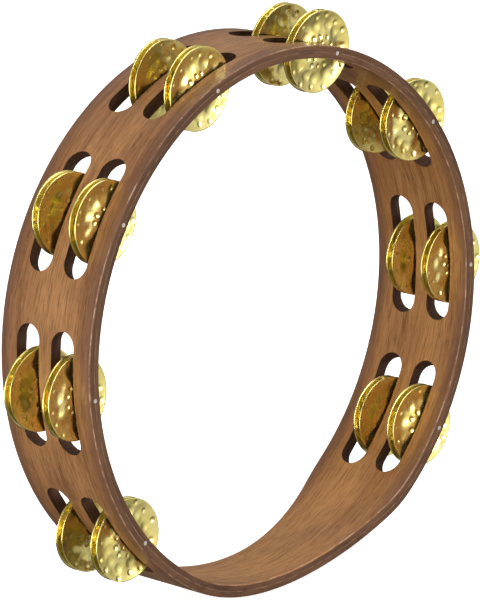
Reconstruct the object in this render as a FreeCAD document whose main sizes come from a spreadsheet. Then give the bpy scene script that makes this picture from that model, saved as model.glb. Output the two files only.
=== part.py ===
import FreeCAD, Part
import os

import Sketcher

# Double-row tambourine without a head.  The hoop stands on its hand grip:
# its axis runs along Y, its front edge faces -Y, and its lowest point is the
# origin.  The pins are numbered clockwise from the left end of the grip.  Of
# the two jingles in a slot, the near one is nearer the front edge.  Lengths
# are millimetres, angles are degrees.

SIZES = [
    ("hoop_diameter", 254.0, "outside diameter: a ten inch hoop"),
    ("hoop_width", 55.6, "front edge to rear edge"),
    ("ply_thickness", 3.0, "each of the two bent strips of wood"),
    ("corner_round", 1.0, "sanded corners along the hoop's edges"),
    ("grip_depth", 9.0, "how far each edge is hollowed at the hand grip"),
    ("grip_radius", 270.0, "main arc of the hollow"),
    ("shoulder_radius", 60.0, "arc that runs the hollow out into the edge"),
    ("place_pitch", 36.5, "angle from one pin to the next"),
    ("place_count", 8, "pins around the hoop"),
    ("slot_length", 57.0, "end to end, along the hoop"),
    ("slot_width", 13.7, "across the hoop"),
    ("row_spacing", 21.3, "from the middle of one row of slots to the other"),
    ("pin_diameter", 2.0, "steel pin"),
    ("pin_cover", 4.0, "wood left behind the rear end of a pin"),
    ("jingle_diameter", 38.4, "brass disc"),
    ("dish_depth", 1.25, "how far the middle of a disc stands out from its rim"),
    ("sheet_thickness", 0.7, "brass sheet"),
    ("jingle_hole", 3.8, "hole that the pin goes through"),
    ("hang_clearance", 0.05, "between a pin and the top of the hole that hangs on it"),
    ("wall_clearance", 0.6, "from the front wall of a slot to the nearer rim"),
    ("pair_clearance", 0.3, "between the backs of a pair"),
]

DERIVED = [
    ("hoop_radius", "=hoop_diameter / 2"),
    ("glue_radius", "=hoop_radius - ply_thickness"),
    ("inner_radius", "=glue_radius - ply_thickness"),
    ("half_width", "=hoop_width / 2"),
    ("first_place", "=(360 - place_pitch * (place_count - 1)) / 2"),
    ("slot_straight", "=(slot_length - slot_width) / 2"),
    ("pin_length", "=hoop_width - pin_cover"),
    ("arc_sum", "=grip_radius + shoulder_radius"),
    ("arc_drop", "=arc_sum - grip_depth"),
    ("grip_half_length", "=sqrt(arc_sum * arc_sum - arc_drop * arc_drop)"),
    ("jingle_radius", "=jingle_diameter / 2"),
    ("dish_radius", "=(jingle_radius * jingle_radius + dish_depth * dish_depth) / (2 * dish_depth)"),
    ("jingle_height", "=dish_depth + sheet_thickness"),
    ("pair_height", "=2 * jingle_height + pair_clearance"),
    ("jingle_drop", "=(jingle_hole - pin_diameter) / 2 - hang_clearance"),
    ("first_rim", "=wall_clearance - slot_width / 2"),
]

ACROSS = FreeCAD.Vector(0, 1, 0)
START, END, CENTRE = 1, 2, 3
ORIGIN = (-1, START)
LEVEL_AXIS = -1
UPRIGHT_AXIS = -2


def make_sheet(doc):
    """The driving dimensions, and the lengths worked out from them."""
    sheet = doc.addObject("Spreadsheet::Sheet", "Sizes")
    notes = [(alias, str(value), note) for alias, value, note in SIZES]
    notes += [(alias, formula, "") for alias, formula in DERIVED]
    for row, (alias, content, note) in enumerate(notes, 1):
        sheet.set(f"A{row}", alias)
        sheet.set(f"B{row}", content)
        sheet.set(f"C{row}", note)
        sheet.setAlias(f"B{row}", alias)
    doc.recompute()
    return sheet


def origin_feature(body, role):
    """One of a body's own origin planes or axes."""
    return next(feature for feature in body.Origin.OriginFeatures if feature.Role == role)


def new_body(doc, name):
    body = doc.addObject("PartDesign::Body", name)
    body.Label = name
    return body


def new_sketch(body, name, plane):
    sketch = body.newObject("Sketcher::SketchObject", name)
    sketch.AttachmentSupport = [(origin_feature(body, plane), "")]
    sketch.MapMode = "FlatFace"
    return sketch


def flatten(places):
    """Each place is an edge, or an edge and one of its points."""
    flat = []
    for place in places:
        flat.extend(place if isinstance(place, tuple) else (place,))
    return flat


def add(sketch, kind, *places):
    """A geometric constraint."""
    sketch.addConstraint(Sketcher.Constraint(kind, *flatten(places)))


def drive(sketch, kind, *places, to):
    """A dimension that an expression drives."""
    now = float(sketch.evalExpression(to))
    index = sketch.addConstraint(Sketcher.Constraint(kind, *flatten(places), now))
    sketch.setExpression(f"Constraints[{index}]", to)


def line(sketch, start, end):
    edge = Part.LineSegment(FreeCAD.Vector(*start), FreeCAD.Vector(*end))
    return sketch.addGeometry(edge)


def arc(sketch, start, middle, end):
    edge = Part.Arc(FreeCAD.Vector(*start), FreeCAD.Vector(*middle), FreeCAD.Vector(*end))
    return sketch.addGeometry(edge)


def draw_section(body, inner, outer):
    """The rectangle that is turned about the hoop's axis to make one ply."""
    sketch = new_sketch(body, "Section", "XY_Plane")
    left = float(sketch.evalExpression(inner))
    right = float(sketch.evalExpression(outer))
    half = float(sketch.evalExpression("Sizes.half_width"))
    front = line(sketch, (left, -half), (right, -half))
    outside = line(sketch, (right, -half), (right, half))
    rear = line(sketch, (right, half), (left, half))
    inside = line(sketch, (left, half), (left, -half))
    for edge, following in ((front, outside), (outside, rear), (rear, inside), (inside, front)):
        add(sketch, "Coincident", (edge, END), (following, START))
    for edge in (front, rear):
        add(sketch, "Horizontal", edge)
    for edge in (outside, inside):
        add(sketch, "Vertical", edge)
    drive(sketch, "DistanceX", ORIGIN, (inside, START), to=inner)
    drive(sketch, "DistanceX", ORIGIN, (outside, START), to=outer)
    drive(sketch, "DistanceY", (front, START), ORIGIN, to="Sizes.half_width")
    drive(sketch, "DistanceY", ORIGIN, (rear, START), to="Sizes.half_width")
    return sketch


def draw_hollow(body, sizes):
    """What the hand grip takes off the front edge: a long arc between two shoulders."""
    sketch = new_sketch(body, "Hollow", "XY_Plane")
    edge_y = -sizes["half_width"]
    reach = sizes["grip_half_length"]
    turn = sizes["grip_radius"] / sizes["arc_sum"]
    join_x = reach * turn
    join_y = edge_y + sizes["grip_depth"] - sizes["grip_radius"] + sizes["arc_drop"] * turn
    middle_x = (reach + join_x) / 2
    middle_y = edge_y + (reach - middle_x) ** 2 / (2 * sizes["shoulder_radius"])
    below = edge_y - sizes["grip_depth"]
    left = arc(sketch, (-reach, edge_y), (-middle_x, middle_y), (-join_x, join_y))
    main = arc(sketch, (join_x, join_y), (0, edge_y + sizes["grip_depth"]), (-join_x, join_y))
    right = arc(sketch, (join_x, join_y), (middle_x, middle_y), (reach, edge_y))
    down = line(sketch, (reach, edge_y), (reach, below))
    back = line(sketch, (reach, below), (-reach, below))
    up = line(sketch, (-reach, below), (-reach, edge_y))
    add(sketch, "Tangent", (left, END), (main, END))
    add(sketch, "Tangent", (main, START), (right, START))
    for edge, following in ((right, down), (down, back), (back, up), (up, left)):
        add(sketch, "Coincident", (edge, END), (following, START))
    add(sketch, "Vertical", down)
    add(sketch, "Horizontal", back)
    add(sketch, "Vertical", up)
    add(sketch, "PointOnObject", (main, CENTRE), UPRIGHT_AXIS)
    add(sketch, "Vertical", (left, CENTRE), (left, START))
    add(sketch, "Vertical", (right, CENTRE), (right, END))
    drive(sketch, "Radius", main, to="Sizes.grip_radius")
    drive(sketch, "Radius", left, to="Sizes.shoulder_radius")
    drive(sketch, "Radius", right, to="Sizes.shoulder_radius")
    drive(sketch, "DistanceY", (left, START), ORIGIN, to="Sizes.half_width")
    drive(sketch, "DistanceY", (right, END), ORIGIN, to="Sizes.half_width")
    drive(sketch, "DistanceY", (back, START), (down, START), to="Sizes.grip_depth")
    main_depth = "Sizes.half_width + Sizes.grip_radius - Sizes.grip_depth"
    drive(sketch, "DistanceY", (main, CENTRE), ORIGIN, to=main_depth)
    return sketch


def draw_slots(body, sizes):
    """The two slots of one place, one in each row."""
    sketch = new_sketch(body, "Slots", "XY_Plane")
    reach = sizes["slot_straight"]
    radius = sizes["slot_width"] / 2
    for side in (-1, 1):
        middle = side * sizes["row_spacing"] / 2
        top = line(sketch, (reach, middle + radius), (-reach, middle + radius))
        left = arc(sketch, (-reach, middle + radius), (-reach - radius, middle), (-reach, middle - radius))
        bottom = line(sketch, (-reach, middle - radius), (reach, middle - radius))
        right = arc(sketch, (reach, middle - radius), (reach + radius, middle), (reach, middle + radius))
        for edge, following in ((top, left), (left, bottom), (bottom, right), (right, top)):
            add(sketch, "Tangent", (edge, END), (following, START))
        drive(sketch, "Radius", left, to="Sizes.slot_width / 2")
        drive(sketch, "DistanceX", (left, CENTRE), ORIGIN, to="Sizes.slot_straight")
        drive(sketch, "DistanceX", ORIGIN, (right, CENTRE), to="Sizes.slot_straight")
        drive(sketch, "DistanceY", ORIGIN, (left, CENTRE), to=f"{side} * Sizes.row_spacing / 2")
        add(sketch, "Horizontal", (left, CENTRE), (right, CENTRE))
    return sketch


def draw_pin_hole(body, sizes):
    """The hole for one pin, which is half in each ply."""
    sketch = new_sketch(body, "PinHole", "XZ_Plane")
    centre = FreeCAD.Vector(0, -sizes["glue_radius"])
    hole = sketch.addGeometry(Part.Circle(centre, FreeCAD.Vector(0, 0, 1), sizes["pin_diameter"] / 2))
    drive(sketch, "Radius", hole, to="Sizes.pin_diameter / 2")
    drive(sketch, "DistanceY", (hole, CENTRE), ORIGIN, to="Sizes.glue_radius")
    add(sketch, "PointOnObject", (hole, CENTRE), UPRIGHT_AXIS)
    return sketch


def cut(body, name, sketch):
    """A pocket that must take something off the body."""
    before = body.Tip.Shape.Volume
    pocket = body.newObject("PartDesign::Pocket", name)
    pocket.Profile = sketch
    pocket.Type = "ThroughAll"
    body.Document.recompute()
    if not pocket.Shape.Volume < before - 1:
        raise RuntimeError(f"{body.Label}: {name} cuts nothing")
    return pocket


def corner_edges(shape, radius):
    """The edges along one skin of the hoop, without the straight seam across it."""
    names = []
    for number, edge in enumerate(shape.Edges, 1):
        radii = [FreeCAD.Vector(point.x, 0, point.z).Length for point in edge.discretize(5)]
        on_skin = all(abs(found - radius) < 0.01 for found in radii)
        if on_skin and not isinstance(edge.Curve, Part.Line):
            names.append(f"Edge{number}")
    return names


def make_ply(doc, sizes, name, inner, outer, skin):
    """One bent strip: a ring with a hollowed grip, rounded corners, slots and pin grooves."""
    body = new_body(doc, name)
    section = draw_section(body, f"Sizes.{inner}", f"Sizes.{outer}")
    ring = body.newObject("PartDesign::Revolution", "Ring")
    ring.Profile = section
    ring.ReferenceAxis = (section, ["V_Axis"])
    ring.Angle = 360
    doc.recompute()

    front_hollow = cut(body, "FrontHollow", draw_hollow(body, sizes))
    hollows = body.newObject("PartDesign::Mirrored", "Hollows")
    hollows.Originals = [front_hollow]
    hollows.MirrorPlane = (origin_feature(body, "XZ_Plane"), [""])
    body.Tip = hollows
    doc.recompute()

    corners = body.newObject("PartDesign::Fillet", "Corners")
    corners.Base = (hollows, corner_edges(hollows.Shape, sizes[skin]))
    corners.setExpression("Radius", "Sizes.corner_round")
    body.Tip = corners
    doc.recompute()

    slot_sketch = draw_slots(body, sizes)
    slot_turn = FreeCAD.Rotation(ACROSS, sizes["first_place"])
    slot_sketch.AttachmentOffset = FreeCAD.Placement(FreeCAD.Vector(), slot_turn)
    slot_sketch.setExpression("AttachmentOffset.Rotation.Angle", "Sizes.first_place")
    slots = cut(body, "FirstSlots", slot_sketch)

    hole_sketch = draw_pin_hole(body, sizes)
    hole_turn = FreeCAD.Rotation(FreeCAD.Vector(0, 0, -1), sizes["first_place"])
    hole_start = FreeCAD.Vector(0, 0, sizes["half_width"])
    hole_sketch.AttachmentOffset = FreeCAD.Placement(hole_start, hole_turn)
    hole_sketch.setExpression("AttachmentOffset.Base.z", "Sizes.half_width")
    hole_sketch.setExpression("AttachmentOffset.Rotation.Angle", "Sizes.first_place")
    hole = cut(body, "FirstPinHole", hole_sketch)
    hole.Type = "Length"
    hole.setExpression("Length", "Sizes.pin_length")

    places = body.newObject("PartDesign::PolarPattern", "Places")
    places.Originals = [slots, hole]
    places.Axis = (origin_feature(body, "Y_Axis"), [""])
    places.Mode = "Spacing"
    places.setExpression("Offset", "Sizes.place_pitch")
    places.setExpression("Occurrences", "Sizes.place_count")
    body.Tip = places
    body.setExpression("Placement.Base.z", "Sizes.hoop_radius")
    doc.recompute()
    return body


def at_place(thing, place, y, drop="0"):
    """Puts a piece on the line of one pin; place 0 is the first one past the grip, on the left."""
    angle = f"(Sizes.first_place + {place} * Sizes.place_pitch)"
    thing.setExpression("Placement.Base.x", f"-Sizes.glue_radius * sin({angle})")
    thing.setExpression("Placement.Base.y", y)
    thing.setExpression("Placement.Base.z", f"Sizes.hoop_radius - Sizes.glue_radius * cos({angle}) - {drop}")


def make_pin(doc, place):
    """A straight steel pin, flush with the front edge; its hole is blind at the rear."""
    pin = doc.addObject("Part::Cylinder", f"jingle_pin_{place + 1}")
    pin.Label = pin.Name
    pin.setExpression("Radius", "Sizes.pin_diameter / 2")
    pin.setExpression("Height", "Sizes.pin_length")
    pin.Placement.Rotation = FreeCAD.Rotation(FreeCAD.Vector(1, 0, 0), -90)
    at_place(pin, place, "-Sizes.half_width")
    return pin


def draw_dish(body, sizes):
    """Half the section of a jingle: two equal arcs, one sheet thickness apart."""
    sketch = new_sketch(body, "Dish", "XY_Plane")
    rim = sizes["jingle_radius"]
    hole = sizes["jingle_hole"] / 2
    sheet = sizes["sheet_thickness"]
    radius = sizes["dish_radius"]

    def height(x):
        return sizes["dish_depth"] - radius + (radius * radius - x * x) ** 0.5

    middle = rim / 2
    hollow = arc(sketch, (rim, 0), (middle, height(middle)), (hole, height(hole)))
    back = arc(sketch, (rim, sheet), (middle, height(middle) + sheet), (hole, height(hole) + sheet))
    edge = line(sketch, (rim, 0), (rim, sheet))
    bore = line(sketch, (hole, height(hole)), (hole, height(hole) + sheet))
    for skin, end in ((hollow, START), (back, END)):
        add(sketch, "Coincident", (skin, START), (edge, end))
        add(sketch, "Coincident", (skin, END), (bore, end))
        add(sketch, "PointOnObject", (skin, CENTRE), UPRIGHT_AXIS)
        drive(sketch, "Radius", skin, to="Sizes.dish_radius")
    add(sketch, "Vertical", edge)
    add(sketch, "Vertical", bore)
    add(sketch, "PointOnObject", (edge, START), LEVEL_AXIS)
    drive(sketch, "DistanceX", ORIGIN, (edge, START), to="Sizes.jingle_radius")
    drive(sketch, "DistanceX", ORIGIN, (bore, START), to="Sizes.jingle_hole / 2")
    drive(sketch, "DistanceY", (edge, START), (edge, END), to="Sizes.sheet_thickness")
    return sketch


def make_jingle(doc, sizes, name, place, row, side):
    """A dished brass disc; the two in a slot hang back to back with their hollows outwards."""
    body = new_body(doc, name)
    dish = draw_dish(body, sizes)
    disc = body.newObject("PartDesign::Revolution", "Disc")
    disc.Profile = dish
    disc.ReferenceAxis = (dish, ["V_Axis"])
    disc.Angle = 360
    rim = f"{row} * Sizes.row_spacing / 2 + Sizes.first_rim"
    if side == "far":
        body.Placement.Rotation = FreeCAD.Rotation(FreeCAD.Vector(0, 0, 1), 180)
        rim += " + Sizes.pair_height"
    at_place(body, place, rim, "Sizes.jingle_drop")
    return body


def make_tambourine(doc):
    """Both plies, then pin by pin the pin and the four jingles that hang on it."""
    sheet = make_sheet(doc)
    sizes = {alias: float(sheet.get(alias)) for alias, *_ in SIZES + DERIVED}
    pieces = [
        make_ply(doc, sizes, "outer_ply", "glue_radius", "hoop_radius", "hoop_radius"),
        make_ply(doc, sizes, "inner_ply", "inner_radius", "glue_radius", "inner_radius"),
    ]
    for place in range(int(sizes["place_count"])):
        pieces.append(make_pin(doc, place))
        for row_name, row in (("front", -1), ("rear", 1)):
            for side in ("near", "far"):
                name = f"{row_name}_row_{side}_jingle_{place + 1}"
                pieces.append(make_jingle(doc, sizes, name, place, row, side))
    doc.recompute()
    return pieces


def check(doc, pieces):
    """Stops before anything is written if an object has failed."""
    for thing in doc.Objects:
        if "Invalid" in thing.State or "Error" in thing.State:
            raise RuntimeError(f"{thing.Label} failed: {thing.State}")
    for piece in pieces:
        if piece.Shape.isNull() or not piece.Shape.isValid():
            raise RuntimeError(f"{piece.Label} has no valid shape")


document = FreeCAD.newDocument("Tambourine")
tambourine = make_tambourine(document)
check(document, tambourine)
os.makedirs("parts", exist_ok=True)
for piece in tambourine:
    piece.Shape.exportStep(f"parts/{piece.Label}.step")
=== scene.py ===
import math

import bpy
from mathutils import Matrix, Vector


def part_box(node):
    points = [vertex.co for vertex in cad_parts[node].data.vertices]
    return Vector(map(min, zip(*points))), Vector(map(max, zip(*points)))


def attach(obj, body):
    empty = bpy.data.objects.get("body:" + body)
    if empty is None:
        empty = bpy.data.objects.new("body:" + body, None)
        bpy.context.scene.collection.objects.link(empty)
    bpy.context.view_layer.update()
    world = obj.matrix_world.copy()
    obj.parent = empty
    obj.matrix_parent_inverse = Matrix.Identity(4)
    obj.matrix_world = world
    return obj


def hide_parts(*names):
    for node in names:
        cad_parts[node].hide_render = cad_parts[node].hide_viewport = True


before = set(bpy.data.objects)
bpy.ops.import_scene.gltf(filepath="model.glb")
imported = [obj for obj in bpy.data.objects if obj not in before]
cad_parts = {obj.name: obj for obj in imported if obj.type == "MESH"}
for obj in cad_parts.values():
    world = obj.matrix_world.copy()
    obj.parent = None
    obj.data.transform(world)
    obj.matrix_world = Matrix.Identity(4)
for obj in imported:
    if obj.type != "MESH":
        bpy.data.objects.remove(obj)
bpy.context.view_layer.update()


# The hoop: two strips of wood steamed, bent and glued one inside the other.
# The grain runs round the hoop; the faces are stained brown and lacquered to
# a satin gloss.  The sawn edges are coloured darker, by a deeper stain and by
# painted shade, and the slot walls are coloured darker still.
HOOP_CENTRE_Z = 0.127
GLUE_RADIUS = 0.124
GLUE_LINE = (0.00030, 0.00006)
SLOT_WALLS_END = (0.0176, 0.0180)
DARK_MARGIN = (0.0195, 0.0265)
GOLDEN_BAND = (0.024, 0.006)

MARGIN_BROWN = (0.125, 0.060, 0.040)
# the sawn-edge browns: a deeper stain, darkened further as painted shade
EDGE_DARK_STAIN_AND_SHADE = (0.078, 0.034, 0.016)
EDGE_LIGHTER_STAIN_AND_SHADE = (0.134, 0.064, 0.031)
EDGE_STREAK = (0.045, 0.022, 0.016)
PALE_GLUE = (0.36, 0.21, 0.13)
WALL_LIGHT = (0.080, 0.034, 0.018)
WALL_DARK = (0.042, 0.018, 0.010)
BARE_WOOD = (0.46, 0.29, 0.19)


def wire(tree, source, target):
    tree.links.new(source, target)


def give(tree, value, socket):
    """Links a socket to another, or sets a plain value on it."""
    if isinstance(value, bpy.types.NodeSocket):
        wire(tree, value, socket)
    else:
        socket.default_value = value


def shader_node(tree, kind, **inputs):
    """A node with its inputs given by name."""
    made = tree.nodes.new(kind)
    for name, value in inputs.items():
        give(tree, value, made.inputs[name])
    return made


def reckon(tree, operation, *values):
    """One sum on numbers."""
    made = tree.nodes.new("ShaderNodeMath")
    made.operation = operation
    for socket, value in zip(made.inputs, values):
        give(tree, value, socket)
    return made.outputs[0]


def hypotenuse(tree, one, other):
    squares = (reckon(tree, "POWER", side, 2.0) for side in (one, other))
    return reckon(tree, "SQRT", reckon(tree, "ADD", *squares))


def fade(tree, value, start, end, low=0.0, high=1.0):
    """A soft step from low to high while value goes from start to end."""
    made = tree.nodes.new("ShaderNodeMapRange")
    made.interpolation_type = "SMOOTHSTEP"
    wire(tree, value, made.inputs["Value"])
    made.inputs["From Min"].default_value = start
    made.inputs["From Max"].default_value = end
    made.inputs["To Min"].default_value = low
    made.inputs["To Max"].default_value = high
    return made.outputs["Result"]


def stain(tree, amount, under, over):
    """Puts one colour over another by amount."""
    made = tree.nodes.new("ShaderNodeMix")
    made.data_type = "RGBA"
    by_kind = {(socket.name, socket.type): socket for socket in made.inputs}
    give(tree, amount, by_kind["Factor", "VALUE"])
    for name, colour in (("A", under), ("B", over)):
        plain = isinstance(colour, tuple)
        give(tree, (*colour, 1.0) if plain else colour, by_kind[name, "RGBA"])
    return next(socket for socket in made.outputs if socket.type == "RGBA")


def darker(colour, share):
    return tuple(share * part for part in colour)


def place_on_hoop(tree):
    """Where a point is: along X, along Y, above the hoop's centre, and how far out."""
    spot = shader_node(tree, "ShaderNodeTexCoord").outputs["Object"]
    parts = shader_node(tree, "ShaderNodeSeparateXYZ", Vector=spot).outputs
    up = reckon(tree, "SUBTRACT", parts["Z"], HOOP_CENTRE_Z)
    return parts["X"], parts["Y"], up, hypotenuse(tree, parts["X"], up)


def wood_noise(tree, along, across, detail, roughness=0.55, shift=0.0):
    """Noise drawn out round the hoop: along and across are features per metre."""
    right, back, up, radius = place_on_hoop(tree)
    stretched = shader_node(
        tree,
        "ShaderNodeCombineXYZ",
        X=reckon(tree, "MULTIPLY_ADD", right, along, shift),
        Y=reckon(tree, "MULTIPLY", back, across),
        Z=reckon(tree, "MULTIPLY", up, along),
    )
    noise = tree.nodes.new("ShaderNodeTexNoise")
    noise.noise_dimensions = "4D"
    wire(tree, stretched.outputs[0], noise.inputs["Vector"])
    wire(tree, reckon(tree, "MULTIPLY", radius, across * 0.5), noise.inputs["W"])
    noise.inputs["Scale"].default_value = 1.0
    noise.inputs["Detail"].default_value = detail
    noise.inputs["Roughness"].default_value = roughness
    return noise.outputs["Fac"]


def face_squareness(tree):
    """1 where a surface faces straight out of or into the hoop, 0 on its edges."""
    right, _, up, radius = place_on_hoop(tree)
    outward = shader_node(
        tree,
        "ShaderNodeCombineXYZ",
        X=reckon(tree, "DIVIDE", right, radius),
        Z=reckon(tree, "DIVIDE", up, radius),
    )
    facing = tree.nodes.new("ShaderNodeVectorMath")
    facing.operation = "DOT_PRODUCT"
    normal = shader_node(tree, "ShaderNodeNewGeometry").outputs["Normal"]
    wire(tree, outward.outputs[0], facing.inputs[0])
    wire(tree, normal, facing.inputs[1])
    return reckon(tree, "ABSOLUTE", facing.outputs["Value"])


def make_wood(name, light, dark, warm, shift):
    """Stained wood for one strip of the hoop."""
    material = bpy.data.materials.new(name)
    material.use_nodes = True
    tree = material.node_tree
    shader = tree.nodes["Principled BSDF"]
    _, back, _, radius = place_on_hoop(tree)
    off_middle = reckon(tree, "ABSOLUTE", back)
    squareness = face_squareness(tree)

    figure = wood_noise(tree, 16.0, 380.0, 3.0, shift=shift)
    streaks = wood_noise(tree, 95.0, 1700.0, 2.0, shift=shift + 7.0)
    pores = wood_noise(tree, 170.0, 2800.0, 1.0, shift=shift + 13.0)
    clouds = wood_noise(tree, 20.0, 45.0, 2.0, shift=shift + 29.0)

    # the lacquered faces: golden in the middle, darker towards the edges
    face = stain(tree, fade(tree, figure, 0.3, 0.7), dark, light)
    golden = reckon(
        tree,
        "MULTIPLY",
        fade(tree, clouds, 0.35, 0.65),
        fade(tree, off_middle, *GOLDEN_BAND, 0.2, 0.8),
    )
    face = stain(tree, golden, face, warm)
    streaked = fade(tree, streaks, 0.45, 0.70, 0.0, 0.50)
    face = stain(tree, streaked, face, darker(dark, 0.55))
    pored = fade(tree, pores, 0.56, 0.70, 0.0, 0.60)
    face = stain(tree, pored, face, darker(dark, 0.30))
    flecked = fade(tree, pores, 0.42, 0.30, 0.0, 0.35)
    face = stain(tree, flecked, face, darker(light, 1.5))
    margin = fade(tree, off_middle, *DARK_MARGIN, 0.0, 0.62)
    face = stain(tree, margin, face, MARGIN_BROWN)

    # the sawn edges, a deeper stain darkened further as painted shade, with their
    # glue line, and the slot walls
    edge = stain(tree, fade(tree, figure, 0.3, 0.7), EDGE_DARK_STAIN_AND_SHADE, EDGE_LIGHTER_STAIN_AND_SHADE)
    edge = stain(tree, fade(tree, streaks, 0.45, 0.75, 0.0, 0.6), edge, EDGE_STREAK)
    off_line = reckon(tree, "ABSOLUTE", reckon(tree, "SUBTRACT", radius, GLUE_RADIUS))
    broken = wood_noise(tree, 260.0, 60.0, 3.0, shift=shift + 41.0)
    glue = reckon(
        tree,
        "MULTIPLY",
        fade(tree, off_line, *GLUE_LINE),
        fade(tree, broken, 0.44, 0.62, 0.05, 0.65),
    )
    edge = stain(tree, glue, edge, PALE_GLUE)
    wall = stain(tree, fade(tree, streaks, 0.35, 0.65), WALL_LIGHT, WALL_DARK)
    sawn = stain(tree, fade(tree, off_middle, *SLOT_WALLS_END), wall, edge)
    finished = stain(tree, fade(tree, squareness, 0.35, 0.8), sawn, face)

    # the corners, rubbed through to bare wood here and there
    worn = wood_noise(tree, 120.0, 260.0, 4.0, roughness=0.7, shift=shift + 3.0)
    corner = reckon(
        tree,
        "MULTIPLY",
        fade(tree, squareness, 0.55, 0.8),
        fade(tree, squareness, 0.985, 0.9),
    )
    chips = reckon(tree, "MULTIPLY", corner, fade(tree, worn, 0.44, 0.60, 0.0, 0.8))
    wire(tree, stain(tree, chips, finished, BARE_WOOD), shader.inputs["Base Color"])

    # satin lacquer on the faces only
    flatness = fade(tree, squareness, 0.85, 0.98)
    satin = fade(tree, streaks, 0.3, 0.7, 0.42, 0.55)
    dryness = fade(tree, flatness, 0.0, 1.0, 0.12, 0.0)
    wire(tree, reckon(tree, "ADD", satin, dryness), shader.inputs["Roughness"])
    lacquer = fade(tree, flatness, 0.0, 1.0, 0.0, 0.26)
    wire(tree, lacquer, shader.inputs["Coat Weight"])
    shader.inputs["Coat Roughness"].default_value = 0.14
    shader.inputs["Specular IOR Level"].default_value = 0.20
    bump = tree.nodes.new("ShaderNodeBump")
    bump.inputs["Strength"].default_value = 0.5
    bump.inputs["Distance"].default_value = 0.0002
    open_pores = reckon(tree, "SUBTRACT", 1.0, fade(tree, pores, 0.5, 0.74))
    wire(tree, open_pores, bump.inputs["Height"])
    wire(tree, bump.outputs["Normal"], shader.inputs["Normal"])
    return material


outer_wood = make_wood(
    "Brown stained outer strip",
    light=(0.345, 0.158, 0.062),
    dark=(0.200, 0.084, 0.029),
    warm=(0.44, 0.215, 0.078),
    shift=0.0,
)
inner_wood = make_wood(
    "Warm stained inner strip",
    light=(0.41, 0.190, 0.068),
    dark=(0.260, 0.106, 0.031),
    warm=(0.52, 0.245, 0.072),
    shift=50.0,
)
for strip, wood, slot in (
    ("outer_ply", outer_wood, "outer_wood"),
    ("inner_ply", inner_wood, "inner_wood"),
):
    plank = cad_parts[strip]
    plank.data.materials.clear()
    plank.data.materials.append(wood)


# The pins: 2 mm steel wire cut to length and driven in from the front edge,
# between the two strips, through one slot of each row.  The cut end shows as
# a small bright dot.
PLACES = range(1, 9)
DULL_STEEL = (0.36, 0.31, 0.26)
BRIGHT_STEEL = (0.62, 0.57, 0.50)

pin_steel = bpy.data.materials.new("Drawn steel wire")
pin_steel.use_nodes = True
pin_tree = pin_steel.node_tree
pin_shader = pin_tree.nodes["Principled BSDF"]
pin_shader.inputs["Metallic"].default_value = 0.55
pin_spot = shader_node(pin_tree, "ShaderNodeTexCoord").outputs["Object"]
drawn = shader_node(
    pin_tree, "ShaderNodeTexNoise", Vector=pin_spot, Scale=1800.0, Detail=3.0
).outputs["Fac"]
pin_colour = stain(pin_tree, fade(pin_tree, drawn, 0.35, 0.65), DULL_STEEL, BRIGHT_STEEL)
wire(pin_tree, pin_colour, pin_shader.inputs["Base Color"])
pin_roughness = fade(pin_tree, drawn, 0.3, 0.7, 0.28, 0.5)
wire(pin_tree, pin_roughness, pin_shader.inputs["Roughness"])
for place in PLACES:
    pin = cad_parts[f"jingle_pin_{place}"]
    pin.data.materials.clear()
    pin.data.materials.append(pin_steel)


# The jingles: discs stamped from brass sheet, dished a little, pierced for
# the pin and hammered all over by hand.  Two hang back to back in each slot,
# their hollow and hammered faces outwards.
CLEAN_BRASS = (0.90, 0.77, 0.29)
TARNISHED_BRASS = (0.84, 0.70, 0.20)

brass = bpy.data.materials.new("Hammered brass")
brass.use_nodes = True
brass_tree = brass.node_tree
brass_shader = brass_tree.nodes["Principled BSDF"]
brass_shader.inputs["Metallic"].default_value = 1.0
brass_spot = shader_node(brass_tree, "ShaderNodeTexCoord").outputs["Object"]
tarnish = shader_node(
    brass_tree, "ShaderNodeTexNoise", Vector=brass_spot, Scale=90.0, Detail=4.0
).outputs["Fac"]
tarnished = fade(brass_tree, tarnish, 0.35, 0.7)
brass_colour = stain(brass_tree, tarnished, CLEAN_BRASS, TARNISHED_BRASS)
wire(brass_tree, brass_colour, brass_shader.inputs["Base Color"])
brass_roughness = fade(brass_tree, tarnish, 0.3, 0.7, 0.24, 0.31)
wire(brass_tree, brass_roughness, brass_shader.inputs["Roughness"])

JINGLE_SIZES = (
    ("Rim Radius", "NodeSocketFloat", 0.0192),
    ("Hole Radius", "NodeSocketFloat", 0.0019),
    ("Dish Depth", "NodeSocketFloat", 0.00220),
    ("Raised Centre", "NodeSocketFloat", 0.00195),
    ("Sheet Thickness", "NodeSocketFloat", 0.0007),
    ("Eased Edge", "NodeSocketFloat", 0.00012),
    ("Skin Rows", "NodeSocketInt", 38),
    ("Steps Around", "NodeSocketInt", 220),
    ("Seed", "NodeSocketFloat", 0.0),
    ("Brass", "NodeSocketMaterial", None),
)
# the raised centre is full within the first radius and gone at the second
RAISED_REACH = (0.0040, 0.0150)
# ring radius, dents in it, size of a dent, its depth, how sharply it is bounded
DENT_RINGS = (
    (0.0041, 4, 0.00105, 0.00032, 1.0),
    (0.0070, 10, 0.00125, 0.00042, 1.0),
    (0.0122, 11, 0.00300, 0.00030, 1.5),
    (0.0166, 14, 0.00130, 0.00036, 1.0),
)
# soft waves all over the sheet, calm at the rim
WAVES_PER_METRE = 130.0
WAVE_HEIGHT = 0.0007
CALM_RIM = (0.0165, 0.0190)


def split(tree, vector):
    parts = tree.nodes.new("ShaderNodeSeparateXYZ")
    wire(tree, vector, parts.inputs[0])
    return parts.outputs


def join(tree, *parts):
    joined = tree.nodes.new("ShaderNodeCombineXYZ")
    for socket, part in zip(joined.inputs, parts):
        give(tree, part, socket)
    return joined.outputs[0]


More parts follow.
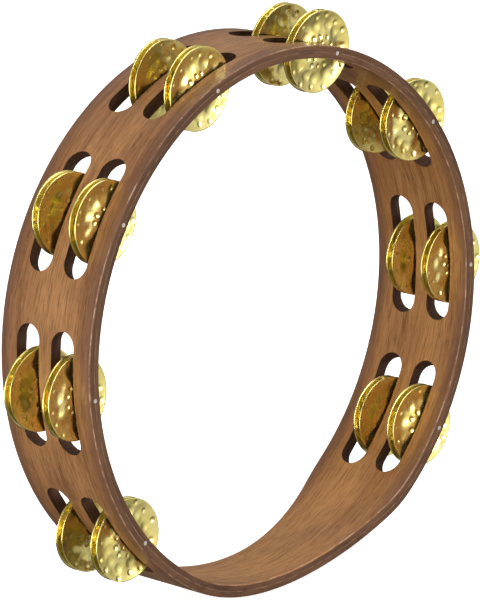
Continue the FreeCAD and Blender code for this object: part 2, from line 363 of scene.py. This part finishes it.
def dent_ring(tree, radius, angle, seed, salt, ring):
    """How deep one ring of dents goes at each point of a disc; no two dents are alike."""
    ring_radius, count, size, depth, sharpness = ring
    full_step = 2 * math.pi / count
    turn = reckon(tree, "DIVIDE", angle, full_step)
    nearest = reckon(tree, "ROUND", turn)
    which = reckon(tree, "FLOORED_MODULO", nearest, float(count))
    chance = tree.nodes.new("ShaderNodeTexWhiteNoise")
    chance.noise_dimensions = "3D"
    wire(tree, join(tree, which, seed, salt), chance.inputs["Vector"])
    sideways, inwards, weight = split(tree, chance.outputs["Color"])
    off_turn = reckon(
        tree,
        "SUBTRACT",
        reckon(tree, "SUBTRACT", turn, nearest),
        reckon(tree, "MULTIPLY_ADD", sideways, 0.36, -0.18),
    )
    away = reckon(tree, "MULTIPLY", off_turn, full_step)
    moved = reckon(tree, "MULTIPLY_ADD", inwards, 0.16, 0.92)
    centre = reckon(tree, "MULTIPLY", moved, ring_radius)
    across = reckon(tree, "MULTIPLY", radius, reckon(tree, "SINE", away))
    outwards = reckon(tree, "MULTIPLY", radius, reckon(tree, "COSINE", away))
    along = reckon(tree, "SUBTRACT", outwards, centre)
    far = reckon(
        tree,
        "ADD",
        reckon(tree, "POWER", across, 2.0),
        reckon(tree, "POWER", along, 2.0),
    )
    own_size = reckon(tree, "MULTIPLY_ADD", weight, 0.3 * size, 0.85 * size)
    share = reckon(tree, "DIVIDE", far, reckon(tree, "POWER", own_size, 2.0))
    bowl = reckon(tree, "MAXIMUM", reckon(tree, "SUBTRACT", 1.0, share), 0.0)
    own_depth = reckon(tree, "MULTIPLY_ADD", weight, 0.5 * depth, 0.7 * depth)
    return reckon(tree, "MULTIPLY", reckon(tree, "POWER", bowl, sharpness), own_depth)


def row_radius_and_lift(tree, sizes, step, rows):
    """The grid's rows run from the hole to the rim over the front, and home over the back."""
    mirrored = reckon(tree, "SUBTRACT", reckon(tree, "SUBTRACT", rows, 1.0), step)
    row = reckon(tree, "MINIMUM", step, mirrored)
    on_back = reckon(tree, "GREATER_THAN", step, mirrored)
    ease = sizes["Eased Edge"]
    first = reckon(tree, "ADD", sizes["Hole Radius"], ease)
    last = reckon(tree, "SUBTRACT", sizes["Rim Radius"], ease)
    gaps = reckon(tree, "SUBTRACT", sizes["Skin Rows"], 1.0)
    spacing = reckon(tree, "DIVIDE", reckon(tree, "SUBTRACT", last, first), gaps)
    steps_out = reckon(tree, "SUBTRACT", row, 1.0)
    radius = reckon(tree, "MULTIPLY_ADD", steps_out, spacing, first)
    radius = reckon(tree, "MAXIMUM", radius, sizes["Hole Radius"])
    radius = reckon(tree, "MINIMUM", radius, sizes["Rim Radius"])
    past_skin = reckon(tree, "ADD", sizes["Skin Rows"], 0.5)
    at_end = reckon(
        tree,
        "MAXIMUM",
        reckon(tree, "LESS_THAN", row, 0.5),
        reckon(tree, "GREATER_THAN", row, past_skin),
    )
    eased = reckon(tree, "MULTIPLY", at_end, ease)
    both_eased = reckon(tree, "MULTIPLY", eased, 2.0)
    back_lift = reckon(tree, "SUBTRACT", sizes["Sheet Thickness"], both_eased)
    return radius, reckon(tree, "MULTIPLY_ADD", on_back, back_lift, eased)


def hammered_height(tree, sizes, radius, lift, angle, spot):
    """Dish, raised centre, dents and waves, on top of the lift of the sheet's own thickness."""
    share = reckon(tree, "DIVIDE", radius, sizes["Rim Radius"])
    fall = reckon(tree, "SUBTRACT", 1.0, reckon(tree, "POWER", share, 2.0))
    height = reckon(tree, "MULTIPLY", fall, sizes["Dish Depth"])
    boss = fade(tree, radius, *RAISED_REACH, 1.0, 0.0)
    boss = reckon(tree, "MULTIPLY", boss, sizes["Raised Centre"])
    height = reckon(tree, "ADD", reckon(tree, "SUBTRACT", height, boss), lift)
    for salt, ring in enumerate(DENT_RINGS):
        dent = dent_ring(tree, radius, angle, sizes["Seed"], salt, ring)
        height = reckon(tree, "ADD", height, dent)
    waves = tree.nodes.new("ShaderNodeTexNoise")
    wire(tree, spot, waves.inputs["Vector"])
    waves.inputs["Scale"].default_value = WAVES_PER_METRE
    waves.inputs["Detail"].default_value = 1.0
    wave = reckon(
        tree, "MULTIPLY_ADD", waves.outputs["Fac"], WAVE_HEIGHT, -WAVE_HEIGHT / 2
    )
    wave = reckon(tree, "MULTIPLY", wave, fade(tree, radius, *CALM_RIM, 1.0, 0.0))
    return reckon(tree, "ADD", height, wave)


def make_jingle_tree():
    tree = bpy.data.node_groups.new("Hammered jingle", "GeometryNodeTree")
    face = tree.interface
    face.new_socket("Geometry", in_out="OUTPUT", socket_type="NodeSocketGeometry")
    for label, kind, value in JINGLE_SIZES:
        socket = face.new_socket(label, in_out="INPUT", socket_type=kind)
        if value is not None:
            socket.default_value = value
    sizes = tree.nodes.new("NodeGroupInput").outputs

    # a flat grid: one side goes round the disc, the other over its skin
    rows = reckon(tree, "MULTIPLY_ADD", sizes["Skin Rows"], 2.0, 4.0)
    grid = tree.nodes.new("GeometryNodeMeshGrid")
    grid.inputs["Size X"].default_value = 1.0
    grid.inputs["Size Y"].default_value = 1.0
    columns = reckon(tree, "ADD", sizes["Steps Around"], 1.0)
    wire(tree, columns, grid.inputs["Vertices X"])
    wire(tree, reckon(tree, "ADD", rows, 1.0), grid.inputs["Vertices Y"])
    flat = split(tree, tree.nodes.new("GeometryNodeInputPosition").outputs[0])
    angle = reckon(tree, "MULTIPLY", reckon(tree, "ADD", flat[0], 0.5), 2 * math.pi)
    step = reckon(tree, "MULTIPLY", reckon(tree, "ADD", flat[1], 0.5), rows)
    step = reckon(tree, "FLOORED_MODULO", reckon(tree, "ROUND", step), rows)

    radius, lift = row_radius_and_lift(tree, sizes, step, rows)
    right = reckon(tree, "MULTIPLY", radius, reckon(tree, "COSINE", angle))
    up = reckon(tree, "MULTIPLY", radius, reckon(tree, "SINE", angle))
    spot = join(tree, right, reckon(tree, "MULTIPLY", sizes["Seed"], 0.1), up)
    height = hammered_height(tree, sizes, radius, lift, angle, spot)

    shaped = tree.nodes.new("GeometryNodeSetPosition")
    wire(tree, grid.outputs["Mesh"], shaped.inputs["Geometry"])
    wire(tree, join(tree, right, height, up), shaped.inputs["Position"])
    closed = tree.nodes.new("GeometryNodeMergeByDistance")
    wire(tree, shaped.outputs[0], closed.inputs["Geometry"])
    closed.inputs["Distance"].default_value = 0.000005
    smooth = tree.nodes.new("GeometryNodeSetShadeSmooth")
    wire(tree, closed.outputs[0], smooth.inputs["Geometry"])
    real = tree.nodes.new("GeometryNodeRealizeInstances")
    wire(tree, smooth.outputs[0], real.inputs["Geometry"])
    painted = tree.nodes.new("GeometryNodeSetMaterial")
    wire(tree, real.outputs[0], painted.inputs["Geometry"])
    wire(tree, sizes["Brass"], painted.inputs["Material"])
    wire(tree, painted.outputs[0], tree.nodes.new("NodeGroupOutput").inputs[0])
    return tree


jingle_tree = make_jingle_tree()
jingle_sockets = {
    item.name: item.identifier for item in jingle_tree.interface.items_tree
}


def make_jingle(name, seed):
    """Spins and hammers one disc on the line of the Y axis, its rim in the plane Y = 0."""
    shell = bpy.data.objects.new(name, bpy.data.meshes.new(name))
    bpy.context.scene.collection.objects.link(shell)
    spinner = shell.modifiers.new("Jingle", "NODES")
    spinner.node_group = jingle_tree
    spinner[jingle_sockets["Seed"]] = seed
    spinner[jingle_sockets["Brass"]] = brass
    evaluated = shell.evaluated_get(bpy.context.evaluated_depsgraph_get())
    disc_mesh = bpy.data.meshes.new_from_object(evaluated)
    disc_mesh.name = name
    bpy.data.objects.remove(shell)
    disc = bpy.data.objects.new(name, disc_mesh)
    bpy.context.scene.collection.objects.link(disc)
    return disc


# how each pair leans on its pin, in degrees: about the length of its slot, and
# a very little about the line out from the middle of the hoop
LEANS = {
    ("front", 1): (-1.8, 0.1),
    ("front", 2): (4.0, 0.2),
    ("front", 3): (1.3, 0.2),
    ("front", 4): (1.4, 0.2),
    ("front", 5): (4.0, -0.2),
    ("front", 6): (4.0, 0.1),
    ("front", 7): (-1.4, 0.2),
    ("front", 8): (2.8, -0.2),
    ("rear", 1): (-3.6, -0.1),
    ("rear", 2): (-4.0, 0.1),
    ("rear", 3): (-4.0, -0.1),
    ("rear", 4): (-0.6, 0.2),
    ("rear", 5): (3.6, -0.1),
    ("rear", 6): (4.0, 0.1),
    ("rear", 7): (-0.8, -0.2),
    ("rear", 8): (1.7, 0.2),
}
for place in PLACES:
    for row in ("front", "rear"):
        swing, sway = (math.radians(lean) for lean in LEANS[row, place])
        for side in ("near", "far"):
            node = f"{row}_row_{side}_jingle_{place}"
            # each disc is hammered by its own seed and hangs turned by it
            seed = place * 7.0 + (row == "rear") * 3.1 + (side == "far") * 1.7
            disc = make_jingle(f"hammered_{row}_{side}_{place}", seed)
            low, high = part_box(node)
            middle = (low + high) / 2
            rim_y = low.y if side == "near" else high.y
            outwards = Vector((middle.x, 0.0, middle.z - HOOP_CENTRE_Z)).normalized()
            along_slot = Vector((0.0, 1.0, 0.0)).cross(outwards)
            about_pin = Matrix.Rotation(seed * 2.4, 4, "Y")
            turned = Matrix.Rotation(math.pi if side == "far" else 0.0, 4, "Z")
            swung = Matrix.Rotation(swing, 4, along_slot)
            swayed = Matrix.Rotation(sway, 4, outwards)
            hang = Matrix.Translation((middle.x, rim_y, middle.z))
            disc.data.transform(hang @ (swung @ swayed) @ turned @ about_pin)
            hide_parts(node)
            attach(disc, node)


# The studio: a pale table, with soft white light from the left, from behind,
# from overhead and from the front.  The wall in front is brighter low on the
# right, where the brass mirrors it.
TABLE_REACH = 6.0
TABLE_DROP = 0.0004
SCREEN_DIRECTION = (0.35, -0.92, -0.16)
# size, power in watts and place of each light
STUDIO_LIGHTS = {
    "Left window": ((1.4, 1.6), 47.0, (-1.90, -0.55, 0.10)),
    "Back window": ((0.6, 1.0), 9.0, (-2.0, 0.42, 0.0)),
    "Overhead": ((1.6, 1.6), 23.0, (0.55, 0.3, 1.9)),
    "Front window": ((1.1, 1.1), 30.0, (0.35, -1.9, 0.50)),
}

corners = [
    (right * TABLE_REACH, back * TABLE_REACH, 0.0)
    for right, back in ((-1, -1), (1, -1), (1, 1), (-1, 1))
]
floor_mesh = bpy.data.meshes.new("Pale table")
floor_mesh.from_pydata(corners, [], [(0, 1, 2, 3)])
floor = bpy.data.objects.new("pale_table", floor_mesh)
bpy.context.scene.collection.objects.link(floor)
floor.location.z = -TABLE_DROP
table = bpy.data.materials.new("Pale table top")
table.use_nodes = True
table_shader = table.node_tree.nodes["Principled BSDF"]
table_shader.inputs["Base Color"].default_value = (0.8, 0.8, 0.8, 1.0)
table_shader.inputs["Roughness"].default_value = 0.9
table_shader.inputs["Specular IOR Level"].default_value = 0.1
table_shader.inputs["Emission Color"].default_value = (1.0, 1.0, 1.0, 1.0)
table_shader.inputs["Emission Strength"].default_value = 0.80
floor_mesh.materials.append(table)
floor.visible_diffuse = False
floor.visible_glossy = False

hoop_middle = Vector((0.0, 0.0, HOOP_CENTRE_Z))
for name, (size, power, place) in STUDIO_LIGHTS.items():
    lamp = bpy.data.lights.new(name, "AREA")
    lamp.shape = "RECTANGLE"
    lamp.size, lamp.size_y = size
    lamp.energy = power
    hung = bpy.data.objects.new(name, lamp)
    hung.location = place
    aim = hoop_middle - Vector(place)
    hung.rotation_euler = aim.to_track_quat("-Z", "Y").to_euler()
    bpy.context.scene.collection.objects.link(hung)

world = bpy.data.worlds.new("Studio walls")
world.use_nodes = True
room = world.node_tree
toward = shader_node(room, "ShaderNodeTexCoord").outputs["Generated"]
glow = room.nodes.new("ShaderNodeVectorMath")
glow.operation = "DOT_PRODUCT"
wire(room, toward, glow.inputs[0])
glow.inputs[1].default_value = SCREEN_DIRECTION
walls = fade(room, split(room, toward)["Z"], -0.5, 0.4, 0.10, 0.30)
screen = fade(room, glow.outputs["Value"], 0.70, 0.95, 0.0, 0.65)
backdrop = room.nodes["Background"]
backdrop.inputs["Color"].default_value = (1.0, 1.0, 1.0, 1.0)
wire(room, reckon(room, "ADD", walls, screen), backdrop.inputs["Strength"])
bpy.context.scene.world = world
bpy.context.scene.view_settings.view_transform = "Standard"

lens = bpy.data.cameras.new("Long lens")
lens.lens = 328.9
lens.sensor_width = 36.0
lens.clip_end = 30.0
camera = bpy.data.objects.new("Camera", lens)
camera.location = (-1.70067, -1.65433, 0.86890)
camera.rotation_euler = tuple(math.radians(turn) for turn in (72.7665, 2.5232, -46.5305))
bpy.context.scene.collection.objects.link(camera)
bpy.context.scene.camera = camera
